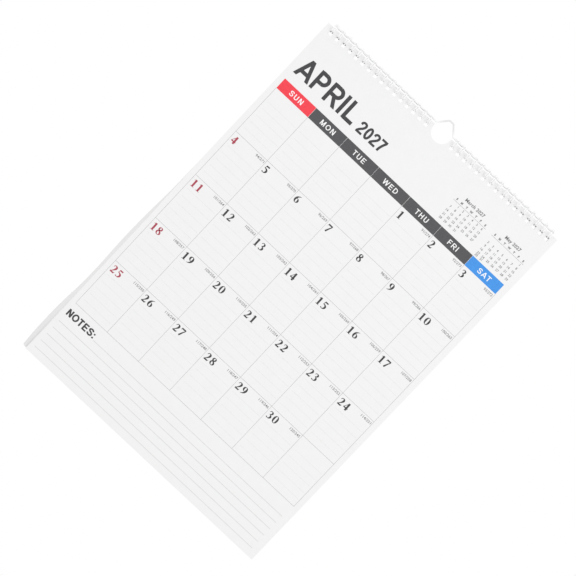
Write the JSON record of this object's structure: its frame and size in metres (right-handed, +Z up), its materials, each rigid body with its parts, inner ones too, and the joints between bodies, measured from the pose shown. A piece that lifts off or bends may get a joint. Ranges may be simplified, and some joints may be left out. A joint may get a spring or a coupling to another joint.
{
  "type": "wall calendar",
  "caption": "Wall calendar of month sheets, bound along the top by twin wire loops either side of a thumb notch and hung from a wire hanger with a hook.",
  "frame": {"origin": "the underside of the hook's crown, where a nail carries the calendar", "axes": "+Z up along the sheets, the printed side faces -Y, the wall is on the +Y side, +X to the right as seen by a reader"},
  "size_m": [0.3107, 0.01, 0.4449],
  "materials": {
    "coated_wire": "satin",
    "page_paper": "matte"
  },
  "bodies": {
    "hanger": {"hanger": "coated_wire"},
    "binding": {"left_wire_comb": "coated_wire", "right_wire_comb": "coated_wire"},
    "pages": {"page_block": "page_paper"}
  },
  "joints": [
    {"name": "hanger_fold", "type": "hinge", "parent": "hanger", "child": "binding", "pos_m": [0, 0, -0.0085], "axis": [-1, 0, 0], "range_deg": [-180, 180]},
    {"name": "page_turn", "type": "hinge", "parent": "binding", "child": "pages", "pos_m": [0, 0, -0.01129], "axis": [-1, 0, 0], "range_deg": [-90, 120]}
  ]
}
